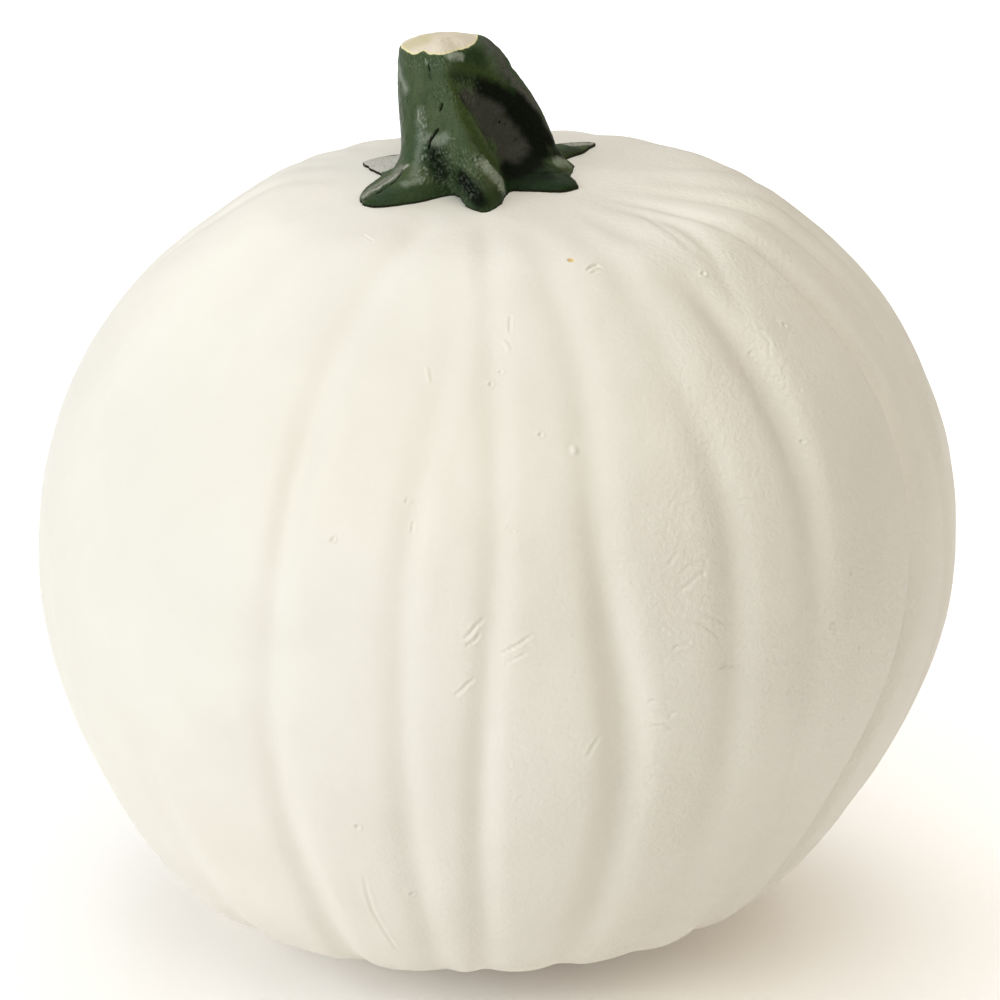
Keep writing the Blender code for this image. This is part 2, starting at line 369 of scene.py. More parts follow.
def back_grooves():
    draw = np.random.default_rng(BACK_GROOVE_SEED)
    stations = len(GROOVE_STATIONS)
    grooves = []
    for middle in BACK_GROOVES:
        middle = middle + draw.uniform(-BACK_GROOVE_SHIFT, BACK_GROOVE_SHIFT)
        azimuths = middle + draw.uniform(-BACK_GROOVE_WANDER, BACK_GROOVE_WANDER, stations)
        depth = draw.uniform(*BACK_GROOVE_DEPTH)
        change = draw.uniform(-BACK_DEPTH_CHANGE, BACK_DEPTH_CHANGE, stations)
        depths = (depth + change) * np.array(BACK_DEPTH_SHARES)
        grooves.append((azimuths, depths, draw.uniform(*BACK_GROOVE_WIDTH)))
    return grooves


GROOVES = list(FRONT_GROOVES) + back_grooves()


def groove_inward(share, azimuth, radius):
    """How far the grooves sink the skin, in millimetres."""
    inward = np.zeros_like(radius)
    for azimuths, depths, width in GROOVES:
        away = (azimuth - natural_spline(GROOVE_STATIONS, azimuths, share) + 180) % 360 - 180
        across = np.radians(away) * radius / width
        fade = smooth_step(*GROOVE_BASE_FADE, share) * smooth_step(*GROOVE_CROWN_FADE, share)
        inward += natural_spline(GROOVE_STATIONS, depths, share) * fade * np.exp(-(across**2))
    return inward


def skin_frame(share, azimuth):
    """Points of the ungrooved fruit in the row frame, with their outward normals and radii."""
    radius, height = meridian(share, azimuth)
    ahead = meridian(np.minimum(share + MERIDIAN_NUDGE, 1), azimuth)
    behind = meridian(np.maximum(share - MERIDIAN_NUDGE, 0), azimuth)
    along_r, along_z = ahead[0] - behind[0], ahead[1] - behind[1]
    length = np.hypot(along_r, along_z)
    turn = np.radians(azimuth)
    sine, cosine = np.sin(turn), -np.cos(turn)
    points = np.stack((radius * sine + AXIS_X, radius * cosine, height), axis=-1)
    normals = np.stack((along_z * sine, along_z * cosine, -along_r), axis=-1) / length[:, None]
    return points, normals, radius


# Marks on the skin: how deep, how wide to one side, and the pixels that they run through. A negative
# depth stands up instead
SKIN_CREASES = (
    (0.45, 0.42, ((587, 270), (592, 266), (597, 264), (602, 266))),
    (0.30, 0.40, ((590, 273), (596, 271), (601, 272))),
    (0.35, 0.45, ((463, 640), (470, 634), (476, 627), (484, 619))),
    (0.30, 0.40, ((466, 646), (474, 642), (480, 634))),
    (0.35, 0.45, ((455, 697), (461, 690), (468, 686), (475, 680))),
    (0.30, 0.40, ((500, 656), (511, 650), (521, 643), (535, 634))),
    (0.22, 0.40, ((505, 664), (516, 660), (528, 654))),
    (0.35, 0.45, ((648, 706), (655, 702), (664, 703), (673, 702))),
    (0.30, 0.40, ((650, 714), (660, 712), (670, 716), (678, 712))),
    (0.30, 0.40, ((647, 724), (656, 728), (666, 726), (676, 729))),
    (0.45, 0.50, ((589, 757), (594, 748), (598, 742), (602, 739))),
    (0.15, 0.50, ((681, 592), (690, 585), (698, 578), (708, 572))),
    (0.15, 0.50, ((679, 574), (688, 568), (699, 562), (709, 558))),
    (0.30, 0.45, ((672, 652), (679, 646), (685, 645), (691, 642))),
    (0.25, 0.45, ((692, 620), (703, 624), (714, 632), (724, 640))),
    (0.22, 0.45, ((700, 612), (712, 616), (726, 624), (740, 634))),
    (0.30, 0.40, ((720, 669), (730, 668), (740, 669), (748, 669))),
    (0.22, 0.50, ((364, 875), (366, 892), (372, 912), (384, 932), (398, 951))),
    (0.22, 0.35, ((362, 233), (368, 237), (373, 240))),
    (0.22, 0.35, ((506, 527), (511, 530), (515, 533))),
    (0.30, 0.40, ((919, 449), (921, 456), (923, 466))),
    (0.12, 0.50, ((746, 331), (752, 326), (763, 330), (771, 342), (772, 356), (766, 365))),
    (0.20, 0.45, ((730, 495), (742, 500), (752, 501))),
    (0.12, 0.50, ((702, 575), (710, 555))),
    (0.12, 0.50, ((678, 592), (690, 587))),
    (0.12, 0.50, ((668, 567), (680, 550))),
    (-0.20, 0.45, ((426, 367), (430, 382))),
    (-0.20, 0.45, ((502, 337), (507, 343), (510, 352))),
    (0.25, 0.35, ((510, 315), (510, 332))),
    (0.22, 0.35, ((412, 522), (412, 532))),
    (0.20, 1.20, ((640, 210), (665, 228), (690, 248), (715, 265))),
)
SKIN_PITS = (
    (0.5, 0.50, (789, 691)),
    (0.5, 0.45, (704, 273)),
    (0.5, 0.45, (785, 325)),
    (0.5, 0.45, (808, 440)),
    (0.5, 0.50, (357, 827)),
    (0.4, 0.45, (411, 897)),
    (0.5, 0.40, (332, 539)),
    (0.4, 0.45, (757, 348)),
    (0.4, 0.40, (491, 382)),
    (0.3, 0.40, (500, 370)),
    (0.4, 0.40, (541, 435)),
    (0.3, 0.40, (406, 500)),
    (-0.3, 0.80, (575, 450)),
    (0.4, 0.45, (810, 607)),
    (0.4, 0.45, (835, 627)),
    (0.4, 0.45, (852, 572)),
    (0.4, 0.45, (860, 647)),
)
CHIP_PIXEL = (571, 259)
CHIP_DEPTH = 0.6
CHIP_WIDTH = 0.75
FOAM_SPREAD = 1.15

# A crease's reach in widths, and the share of its depth and the place in widths of its lips
CREASE_REACH = 5
LIP_HEIGHT = 0.35
LIP_PLACE = 2.1


def distance_to_line(points, line):
    """Distance from each point to a line of straight steps, and how far along it that is, 0 to 1."""
    if len(line) == 1:
        return np.linalg.norm(points - line[0], axis=1), np.full(len(points), 0.5)
    steps = np.linalg.norm(np.diff(line, axis=0), axis=1)
    starts = np.concatenate(([0.0], np.cumsum(steps)))
    best = np.full(len(points), np.inf)
    along = np.zeros(len(points))
    for i, step in enumerate(steps):
        direction = (line[i + 1] - line[i]) / step
        run = np.clip((points - line[i]) @ direction, 0, step)
        away = np.linalg.norm(points - line[i] - run[:, None] * direction, axis=1)
        closer = away < best
        best[closer] = away[closer]
        along[closer] = (starts[i] + run[closer]) / starts[-1]
    return best, along


def crease(points, line, depth, width):
    """A crease that is deepest midway, with a low lip on both sides."""
    reach = CREASE_REACH * width
    inside = (points > line.min(axis=0) - reach) & (points < line.max(axis=0) + reach)
    near = np.flatnonzero(inside.all(axis=1))
    away, along = distance_to_line(points[near], line)
    taper = np.sqrt(np.clip(4 * along * (1 - along), 0, 1)) if len(line) > 1 else 1.0
    cut = np.exp(-((away / width) ** 2))
    lip = LIP_HEIGHT * np.exp(-(((away - LIP_PLACE * width) / width) ** 2))
    lift = np.zeros(len(points))
    lift[near] = -depth * (cut - lip) * taper
    return lift


def skin_marks():
    """Creases and pits as depth, width and points, and the chip's point."""
    share, azimuth = np.meshgrid(np.linspace(*SEEN_SHARES), np.linspace(*SEEN_AZIMUTHS))
    points = skin_frame(share.ravel(), azimuth.ravel())[0]
    seen = Seen(points)
    marks = [(depth, width, seen.line(pixels)) for depth, width, pixels in SKIN_CREASES]
    marks += [(depth, width, seen.line((pixel,))) for depth, width, pixel in SKIN_PITS]
    chip = seen.line((CHIP_PIXEL,))
    return marks, chip


def skin_columns():
    fine = np.arange(-FINE_AZIMUTH, FINE_AZIMUTH, FINE_STEP)
    coarse = np.arange(FINE_AZIMUTH, 360 - FINE_AZIMUTH, COARSE_STEP)
    return np.concatenate((fine, coarse))


def skin_mesh(marks, chip):
    """Grid of the skin over azimuth and share, cut finer where a mark needs it."""
    shares = np.linspace(*SKIN_SHARES, SKIN_ROWS)
    columns = skin_columns()
    grid = bmesh.new()
    rows = [[grid.verts.new((azimuth, share, 0)) for azimuth in columns] for share in shares]
    base = grid.verts.new((0, 0, 0))
    crown = grid.verts.new((0, 1, 0))
    count = len(columns)
    for i in range(count):
        j = (i + 1) % count
        for below, above in zip(rows, rows[1:]):
            grid.faces.new((below[i], below[j], above[j], above[i]))
        grid.faces.new((base, rows[0][j], rows[0][i]))
        grid.faces.new((crown, rows[-1][i], rows[-1][j]))
    middles = np.array([face.calc_center_median()[:2] for face in grid.faces])
    points = skin_frame(middles[:, 1], middles[:, 0])[0]
    near = np.zeros(len(points), bool)
    for _, width, line in marks + [(0, CHIP_WIDTH, chip)]:
        near |= distance_to_line(points, line)[0] < MARK_MARGIN * width + MARK_BORDER
    grid.faces.ensure_lookup_table()
    edges = {edge for index in np.flatnonzero(near) for edge in grid.faces[index].edges}
    bmesh.ops.subdivide_edges(grid, edges=list(edges), cuts=MARK_CUTS, use_grid_fill=True)
    return grid


def skin_surface(share, azimuth, marks, chip):
    """Points of the finished skin, and how far each one is from the chip."""
    points, normals, radius = skin_frame(share, azimuth)
    lift = -groove_inward(share, azimuth, radius) - SKIN_INSET + skin_relief(points, share)
    for depth, width, line in marks:
        lift += crease(points, line, depth, width)
    chip_away = np.linalg.norm(points - chip[0], axis=1)
    lift -= CHIP_DEPTH * np.exp(-((chip_away / CHIP_WIDTH) ** 4))
    points = points + normals * lift[:, None]
    points[:, 2] = np.maximum(points[:, 2], 0)
    return points, chip_away


def skin_normals(share, azimuth, points, marks, chip):
    """Outward normals of the finished skin, from points a small step away on it."""
    inward = np.where(share < 0.5, SHARE_NUDGE, -SHARE_NUDGE)
    up = (skin_surface(share + inward, azimuth, marks, chip)[0] - points) * np.sign(inward)[:, None]
    along = skin_surface(share, azimuth + AZIMUTH_NUDGE, marks, chip)[0] - points
    normals = np.cross(along, up)
    size = np.linalg.norm(normals, axis=1, keepdims=True)
    upright = np.stack((0 * share, 0 * share, np.where(share < 0.5, -1, 1)), axis=-1)
    return np.where(size > TINY, normals / np.maximum(size, TINY), upright)


def make_skin():
    marks, chip = skin_marks()
    grid = skin_mesh(marks, chip)
    where = np.array([vert.co[:] for vert in grid.verts])
    azimuth, share = where[:, 0], where[:, 1]
    points, chip_away = skin_surface(share, azimuth, marks, chip)
    normals = skin_normals(share, azimuth, points, marks, chip)
    for vert, point in zip(grid.verts, points * MM):
        vert.co = point
    mesh = bpy.data.meshes.new("pumpkin_skin")
    grid.to_mesh(mesh)
    grid.free()
    mesh.shade_smooth()
    mesh.normals_split_custom_set_from_vertices(normals.tolist())
    add_attribute(mesh, "chip", np.exp(-((chip_away / (CHIP_WIDTH * FOAM_SPREAD)) ** 6)))
    add_attribute(mesh, "peel", peel_strength(points))
    return link("pumpkin_skin", mesh)


# Orange peel of the skin: its full height in metres, and its shares at places across the fruit, at
# and below the lower level and at and above the upper one
PEEL_HEIGHT = 0.0004
PEEL_PLACES = (-110.0, -50.0, -15.0, 15.0, 35.0, 60.0, 110.0)
PEEL_LEVELS = (100.0, 160.0)
PEEL_LOWER = (0.12, 0.22, 0.42, 0.70, 1.20, 1.90, 1.90)
PEEL_UPPER = (0.12, 0.15, 0.28, 0.35, 0.50, 1.05, 1.40)
PEEL_PATCHES = (0.2, 40.0, 7)
PEEL_RANGE = (0.08, 1.8)


def peel_strength(points):
    lower = np.interp(points[:, 0], PEEL_PLACES, PEEL_LOWER)
    upper = np.interp(points[:, 0], PEEL_PLACES, PEEL_UPPER)
    share = lower + (upper - lower) * np.interp(points[:, 2], PEEL_LEVELS, (0, 1))
    patches = 1 + unevenness(points, (PEEL_PATCHES,))
    return np.clip(share * patches, *PEEL_RANGE)


# Unevenness of the cast skin: height, crest length and seed of its layers, how far they are sunk in,
# and the shares that they grow between
SKIN_UNEVENNESS = ((0.10, 34.0, 3), (0.045, 14.0, 4), (0.016, 6.0, 5))
SKIN_SINK = 0.2
SKIN_BASE_FADE = (0.10, 0.20)


def skin_relief(points, share):
    relief = unevenness(points, SKIN_UNEVENNESS) - SKIN_SINK
    return relief * smooth_step(*SKIN_BASE_FADE, share)


def add_attribute(mesh, name, values):
    attribute = mesh.attributes.new(name, "FLOAT", "POINT")
    attribute.data.foreach_set("value", np.asarray(values, np.float32))


def link(name, mesh):
    item = bpy.data.objects.new(name, mesh)
    bpy.context.scene.collection.objects.link(item)
    return item


def crown_height(x, y):
    """Height of the fruit's crown at a point of the plan about its axis, found by halving."""
    azimuth = np.degrees(np.arctan2(x, -y))
    reach = np.hypot(x, y)
    low = np.full_like(reach, CROWN_SHARE)
    high = np.ones_like(reach)
    for _ in range(HALVINGS):
        middle = (low + high) / 2
        beyond = meridian(middle, azimuth)[0] > reach
        low = np.where(beyond, middle, low)
        high = np.where(beyond, high, middle)
    return meridian((low + high) / 2, azimuth)[1]


def stem_radius(azimuth, level):
    """Radius of the stem about its leaning middle, at a height over the crown."""
    rise = level / STEM_HEIGHT
    low, middle, top = (closed_spline(*zip(*outline), azimuth) for outline in TRUNK_OUTLINES)
    trunk = (
        low * (1 - rise) * (1 - 2 * rise)
        + middle * 4 * rise * (1 - rise)
        + top * rise * (2 * rise - 1)
    )
    toes, reaches, heights = zip(*STEM_FOOT)
    reach = closed_spline(toes, reaches, azimuth)
    toe_height = closed_spline(toes, heights, azimuth)
    flare = 1 / (1 + (level / toe_height) ** TOE_FALL)
    return trunk + (reach - trunk) * flare - RIM_ROUNDING * rise**RIM_SHARPNESS


def stem_surface(azimuth, level, scale):
    """Points of the stem in the row frame; scale draws the cut face's rings in to its middle."""
    rise = level / STEM_HEIGHT
    radius = stem_radius(azimuth, level) * scale
    turn = np.radians(azimuth)
    x = STEM_LEAN[0] * rise + radius * np.sin(turn)
    y = STEM_LEAN[1] * rise - radius * np.cos(turn)
    lifted = smooth_step(0, FOOT_SHARE, rise)
    ground = crown_height(x, y) * (1 - lifted) + BODY_HEIGHT * lifted
    slope = CUT_FACE_SLOPE * (x - STEM_LEAN[0]) * rise
    z = ground + level + slope + CUT_FACE_DOME * (1 - scale**2)
    return np.stack((x + AXIS_X, y, z), axis=-1)


def grid_normals(points):
    """Outward normals of a closed grid of rows up and columns round."""
    up = np.gradient(points, axis=0)
    round_ = (np.roll(points, -1, axis=1) - np.roll(points, 1, axis=1)) / 2
    normals = np.cross(round_, up)
    return normals / np.maximum(np.linalg.norm(normals, axis=-1, keepdims=True), TINY)


def stem_columns():
    start, end = STEM_FRONT
    fine = np.arange(start, end, STEM_FINE_STEP)
    return np.concatenate((fine, np.arange(end, start + 360, STEM_COARSE_STEP)))


def make_stem():
    azimuths = stem_columns()
    columns = len(azimuths)
    levels = STEM_HEIGHT * np.linspace(0, 1, STEM_ROWS) ** STEM_ROW_CROWDING
    levels = np.sort(np.concatenate((levels, STEM_HEIGHT - np.array(RIM_ROWS))))
    side = [(level, 1.0) for level in levels]
    scales = 1 - (1 - CUT_FACE_HOLE) * np.linspace(0, 1, CUT_FACE_ROWS) ** CUT_FACE_CROWDING
    face = [(STEM_HEIGHT, scale) for scale in scales[1:]]
    rings = np.array(side + face)
    azimuth = np.tile(azimuths, len(rings))
    level = np.repeat(rings[:, 0], columns)
    scale = np.repeat(rings[:, 1], columns)
    shape = (len(rings), columns, 3)
    points = stem_surface(azimuth, level, scale).reshape(shape)
    normals = grid_normals(points).reshape(-1, 3)
    points = points.reshape(-1, 3)
    points, masks = stem_details(points, normals, azimuth, level, scale)
    points = points.reshape(shape)
    skirt = points[:1] - (0, 0, STEM_SINK)
    points = np.concatenate((skirt, points)).reshape(-1, 3)
    masks = {name: np.concatenate((mask[:columns], mask)) for name, mask in masks.items()}
    return loft("stem_casting", points, columns, masks)


# Corners and nicks of the foot's outline: azimuth, how far out, and half width in degrees
FOOT_CORNERS = (
    (-116, 0.5, 2.0),
    (-109, -0.5, 1.6),
    (-55, -0.6, 1.0),
    (-36, 0.25, 2.0),
    (-15, -0.3, 2.0),
    (-7, 0.45, 2.2),
    (12, 0.5, 2.4),
    (38, 0.3, 4.0),
    (69, 0.5, 2.2),
    (88, -0.7, 7.0),
    (112, 0.7, 3.0),
    (136, -1.0, 2.5),
    (150, -0.8, 3.0),
)

# Ragged paint of the foot's edge: height that it fades over, size, and rate and start of its waves
FOOT_EDGE_HEIGHT = 1.4
FOOT_RAGGEDNESS = 0.05
FOOT_WAVES = ((0.9, 0), (1.7, 1), (0.37, 0))

# Relief of the stem: height, half width, and the pixels that it runs through
STEM_RELIEF = (
    (-0.85, 0.30, ((442, 104), (441, 107), (439.6, 111))),
    (-0.40, 0.24, ((428, 65), (429.5, 71))),
    (-0.22, 0.24, ((429, 73), (430.5, 79))),
    (-0.90, 0.32, ((438.5, 129), (434, 135), (430, 141), (429, 149))),
    (0.15, 0.25, ((425.5, 59), (427.5, 65))),
    (-0.12, 0.22, ((429, 120.4), (447, 120.4))),
    (0.60, 0.45, ((406, 166), (394, 178.6), (378, 189), (362, 197.5))),
    (-0.90, 1.40, ((399, 166), (389, 176), (372, 190))),
    (-0.55, 0.40, ((403, 171), (393, 182), (379, 191.5), (364, 199.5))),
    (0.90, 4.60, ((483, 41), (491, 46), (499, 55), (507, 67))),
    (-0.70, 3.00, ((505, 112), (516, 130), (524, 146))),
    (0.55, 1.40, ((449, 57), (463, 58.5))),
    (-0.45, 0.45, ((455, 61), (458, 59.5), (462, 61))),
    (0.40, 0.80, ((421.6, 115), (421.6, 163))),
    (0.45, 1.20, ((463, 108), (471, 120), (479, 135), (488, 150))),
    (-0.60, 0.90, ((467, 104), (477, 118), (486, 134), (495, 150), (503, 162))),
    (0.60, 2.20, ((485, 166), (498, 181))),
    (-0.60, 2.80, ((436, 156), (445, 172))),
    (-0.50, 1.80, ((468, 181), (474, 196))),
    (0.35, 0.90, ((443, 124), (450, 133), (455, 139))),
    (0.60, 1.60, ((558, 163), (567, 163))),
    (-0.35, 0.60, ((540, 176), (560, 173), (571, 171))),
    (-0.60, 0.28, ((500, 121.6),)),
    (-0.50, 0.26, ((507, 124),)),
    (-0.55, 0.28, ((518.6, 138.5),)),
    (-0.45, 0.24, ((515.5, 140.5),)),
    (-0.45, 0.24, ((479.6, 105),)),
    (-0.35, 0.22, ((493, 118),)),
    (-0.35, 0.22, ((505, 147),)),
    (-0.80, 0.36, ((389, 171), (392, 168.8))),
    (-0.50, 0.32, ((373.7, 181.6),)),
    (0.22, 0.55, ((427, 45.5), (440, 40.5), (454, 36))),
)

# Rough places of the stem: height, crest length, painted highlight and worn paint on the crests,
# half width, softness and pixels
STEM_ROUGH = (
    (0.15, 0.80, 0.20, 4.4, 2.6, ((438, 160), (450, 178), (468, 184))),
    (0.12, 0.90, 0.32, 2.4, 1.6, ((445, 150), (462, 159), (476, 167))),
    (0.17, 0.90, 1.00, 1.6, 1.4, ((421, 113), (422, 180))),
    (0.18, 0.85, 1.00, 2.8, 1.8, ((482, 163), (492, 174), (500, 186))),
    (0.08, 0.80, 0.00, 5.0, 2.4, ((484, 112), (510, 150))),
    (0.07, 1.10, 0.00, 3.0, 2.4, ((493, 55), (520, 90))),
    (0.12, 1.10, 0.30, 1.8, 0.8, ((394, 175), (384, 182), (368, 194))),
    (0.10, 1.20, 0.00, 2.5, 1.5, ((576, 144), (592, 144))),
    (0.06, 0.80, 0.15, 4.0, 2.4, ((445, 96), (470, 88))),
    (0.05, 0.90, 0.25, 3.0, 2.0, ((412, 58), (440, 58))),
)

# Strokes on the stem: kind, strength, half width, softness and pixels. Some are paint, and some are
# painted shade, sheen and highlights
STEM_STROKES = (
    # Deeper green paint, and painted shade low on the stem, in the hollows between its toes and on
    # the front right flap
    ("deep_green_and_shade", 0.60, 3.6, 4.6, ((372, 203), (400, 199), (440, 188), (474, 198))),
    ("deep_green_and_shade", 1.00, 2.6, 3.2, ((433, 156), (437, 172))),
    ("deep_green_and_shade", 0.80, 2.6, 3.2, ((440, 168), (458, 181), (470, 190))),
    ("deep_green_and_shade", 0.70, 2.2, 4.0, ((468, 62), (478, 72), (490, 78))),
    ("deep_green_and_shade", 0.60, 1.2, 2.4, ((476, 142), (484, 152), (491, 161))),
    ("deep_green_and_shade", 0.75, 2.6, 4.0, ((482, 203), (494, 198), (505, 190))),
    ("deep_green_and_shade", 1.00, 8.0, 4.5, ((525, 180), (566, 180))),
    ("deep_green_and_shade", 0.85, 2.2, 3.0, ((472, 54), (481, 60), (481, 72))),
    ("deep_green_and_shade", 0.90, 3.0, 3.0, ((556, 150), (576, 152))),
    (
        "olive",
        1.0,
        1.6,
        2.6,
        ((452, 82), (458, 100), (464, 116), (474, 134), (485, 152), (493, 163)),
    ),
    ("olive", 0.8, 2.6, 3.0, ((462, 72), (480, 77), (500, 85))),
    ("grey", 1.0, 2.4, 1.6, ((467, 97), (480, 112), (489, 130))),
    ("grey", 1.0, 3.2, 2.0, ((480, 100), (492, 112), (502, 128))),
    ("grey", 1.0, 4.2, 2.4, ((496, 124), (506, 140), (513, 158))),
    ("grey", 1.0, 3.4, 2.0, ((502, 108), (514, 126), (522, 142), (524, 154))),
    # Painted shade under the right rib, in deeper green
    ("deep_green_and_shade", 1.00, 3.4, 2.4, ((506, 84), (520, 98), (532, 114))),
    # Painted shade: near black on the valley's shadowed side under the right rib, in the hollows and
    # under the toes
    ("painted_shade", 0.6, 1.6, 3.4, ((456, 77), (470, 80), (484, 84))),
    ("painted_shade", 1.0, 2.6, 3.0, ((480, 86), (492, 90), (504, 97), (516, 107))),
    ("painted_shade", 1.0, 3.4, 2.6, ((516, 108), (527, 120), (535, 134), (541, 148))),
    ("painted_shade", 1.0, 2.6, 2.6, ((522, 99), (534, 112), (541, 126), (549, 140))),
    ("painted_shade", 1.0, 2.8, 3.6, ((541, 148), (534, 162), (522, 171), (508, 170))),
    ("painted_shade", 0.9, 1.6, 3.0, ((540, 154), (560, 155))),
    ("painted_shade", 0.6, 2.4, 3.0, ((518, 176), (546, 175))),
    ("painted_shade", 1.0, 2.1, 2.6, ((461, 177), (469, 187), (478, 200))),
    ("painted_shade", 0.8, 1.3, 2.6, ((432, 152), (436, 163), (444, 174))),
    ("painted_shade", 0.7, 0.5, 1.2, ((459, 94), (468, 108), (477, 122), (486, 138), (494, 152))),
    # Painted sheen: light grey along the right rib's edge
    ("rim_sheen", 1.0, 1.3, 2.2, ((486, 43), (496, 54), (505, 68), (515, 82), (526, 93), (538, 108))),
    ("rim_sheen", 0.5, 2.2, 4.0, ((490, 50), (498, 62), (506, 74))),
    ("rim_sheen", 0.5, 0.8, 1.6, ((538, 108), (546, 126), (557, 141))),
    # Painted highlights and sheen on ridges, toes and the left edge, with some worn paint
    ("highlight_and_wear", 0.42, 1.1, 2.2, ((420, 112), (420, 140), (416, 165), (414, 178))),
    ("highlight_and_wear", 0.6, 1.4, 2.0, ((423, 137), (438, 141), (447, 137))),
    ("highlight_and_wear", 0.6, 0.9, 1.6, ((404, 184), (418, 180))),
    ("highlight_and_wear", 1.0, 2.4, 2.0, ((486, 167), (493, 175), (501, 184))),
    ("highlight_and_wear", 1.0, 1.1, 1.3, ((449, 56.5), (461, 57.5))),
    ("highlight_and_wear", 0.9, 0.8, 3.2, ((399, 68), (402, 80), (406, 90))),
    ("highlight_and_wear", 0.8, 1.3, 2.2, ((556, 162.5), (567, 163.5))),
    ("highlight_and_wear", 1.0, 0.34, 0.30, ((406, 166), (394, 178.6), (378, 189), (362, 197.5))),
    ("highlight_and_wear", 0.9, 0.14, 0.16, ((425.5, 59), (427.5, 65))),
    ("highlight_and_wear", 0.6, 0.16, 0.16, ((447, 137), (455, 139))),
    # Painted shade: black in the slit under the left front toe's crest
    ("crack_shade", 0.9, 0.26, 0.26, ((403, 171), (393, 182), (379, 191.5), (364, 199.5))),
    # Painted sheen: grey on the back of the left front toe
    ("wedge_sheen", 1.0, 2.2, 0.8, ((396, 171), (384, 180), (367, 193))),
    # Painted sheen: pale grey on the tops of the back toes, and a painted glint along the left front
    # toe's crest
    ("toe_sheen", 1.0, 6.0, 0.8, ((394, 160), (366, 163))),
    ("toe_sheen", 0.6, 0.26, 0.24, ((408, 165), (394, 178.6), (378, 189), (362, 197.5))),
    ("toe_sheen", 0.72, 2.2, 1.0, ((570, 144.5), (596, 142.5))),
    # Painted shade: black in the cracks and pinholes
    ("crack_shade", 1.0, 0.26, 0.18, ((442, 104), (441, 107), (439.6, 111))),
    ("crack_shade", 0.8, 0.18, 0.16, ((428, 65), (429.5, 71))),
    ("crack_shade", 0.5, 0.16, 0.16, ((429, 73), (430.5, 79))),
    ("crack_shade", 1.0, 0.28, 0.18, ((438.5, 129), (434, 135), (430, 141), (429, 149))),
    ("crack_shade", 1.0, 0.28, 0.14, ((500, 121.6),)),
    ("crack_shade", 0.9, 0.24, 0.14, ((507, 124),)),
    ("crack_shade", 1.0, 0.26, 0.14, ((518.6, 138.5),)),
    ("crack_shade", 0.8, 0.22, 0.14, ((515.5, 140.5),)),
    ("crack_shade", 0.8, 0.22, 0.14, ((479.6, 105),)),
    ("crack_shade", 1.0, 0.36, 0.14, ((389, 171), (392, 168.8))),
    ("crack_shade", 0.9, 0.28, 0.14, ((373.7, 181.6),)),
    ("crack_shade", 0.7, 0.40, 0.30, ((577, 143), (590, 142.5))),
    ("crack_shade", 0.6, 0.35, 0.25, ((571, 144),)),
    ("tan", 1.0, 3.6, 4.0, ((405, 47), (420, 40))),
)

# The cream paint's border: azimuth, and millimetres in from the rim, or down from it where negative.
# The rings of the cut face count as millimetres over its rough radius
CUT_FACE_RADIUS = 10
CREAM_BORDER = (
    (-100, -0.4),
    (-81, -0.5),
    (-58, -0.4),
    (-46, -0.6),
    (-34, -0.3),
    (-27, 0.3),
    (-20, -0.3),
    (-14, -0.4),
    (7, -0.35),
    (30, -0.4),
    (50, -0.3),
    (70, 0.2),
    (90, 0.9),
    (115, 0.7),
    (150, 0.0),
    (200, -0.2),
)

# Unevenness all over the stem, its upright streaks, the ragged edges of strokes and of the cream
# paint: height, crest length and seed of the layers
STEM_UNEVENNESS = ((0.03, 2.5, 21),)
STEM_STREAKS = ((0.015, 0.8, 22),)
STREAK_STRETCH = (1.0, 1.0, 0.25)
STROKE_RAGGEDNESS = ((0.14, 2.6, 23), (0.07, 1.0, 24))
CREAM_RAGGEDNESS = ((0.03, 1.5, 25),)

# Folds of the rough places: first seed, directions, and how high a fold is where its crest gets
# painted highlight and worn paint
ROUGH_SEED = 40
FOLD_STEEP = (0.94, 0.1, 0.34)
FOLD_SLANT = (-0.50, 0.1, 0.86)
CREST_HIGHLIGHT_AND_WEAR = (0.1, 1.1)

# Levels over the crown that relief grows between and the foot's dark edge ends between, and the
# least level part that a normal counts with where the foot is pushed out
FOOT_FADE = (0.0, 0.8)
FOOT_EDGE = (0.40, 0.15)
LEAST_OUTWARD = 0.2


def stroke(points, line, half_width, softness, wobble):
    """1 within half a width of a line and 0 outside it, with a soft and slightly ragged edge."""
    away = distance_to_line(points, line)[0] + wobble * min(half_width, 1.0)
    return smooth_step(half_width + softness / 2, half_width - softness / 2, away)


def wrinkles(points, length, seed):
    """Crossing folds of about unit height, with crests about a length apart."""
    bend = 0.35 * waves(points, 5 * length, seed, 12)
    steep = points @ FOLD_STEEP / length + bend
    slant = points @ FOLD_SLANT / (1.3 * length) + 1.4 * bend
    folds = np.sin(2 * np.pi * steep) + 0.8 * np.sin(2 * np.pi * slant)
    return 0.6 * folds + 0.4 * waves(points, 1.4 * length, seed + 1)


def foot_outline(azimuth, level):
    """How far the foot's edge stands out for its corners and ragged paint."""
    low = np.exp(-((level / FOOT_EDGE_HEIGHT) ** 2))
    total = FOOT_RAGGEDNESS * sum(np.sin(azimuth * rate + start) for rate, start in FOOT_WAVES)
    for middle, out, width in FOOT_CORNERS:
        away = (azimuth - middle + 180) % 360 - 180
        total = total + out * np.exp(-((away / width) ** 2))
    return total * low


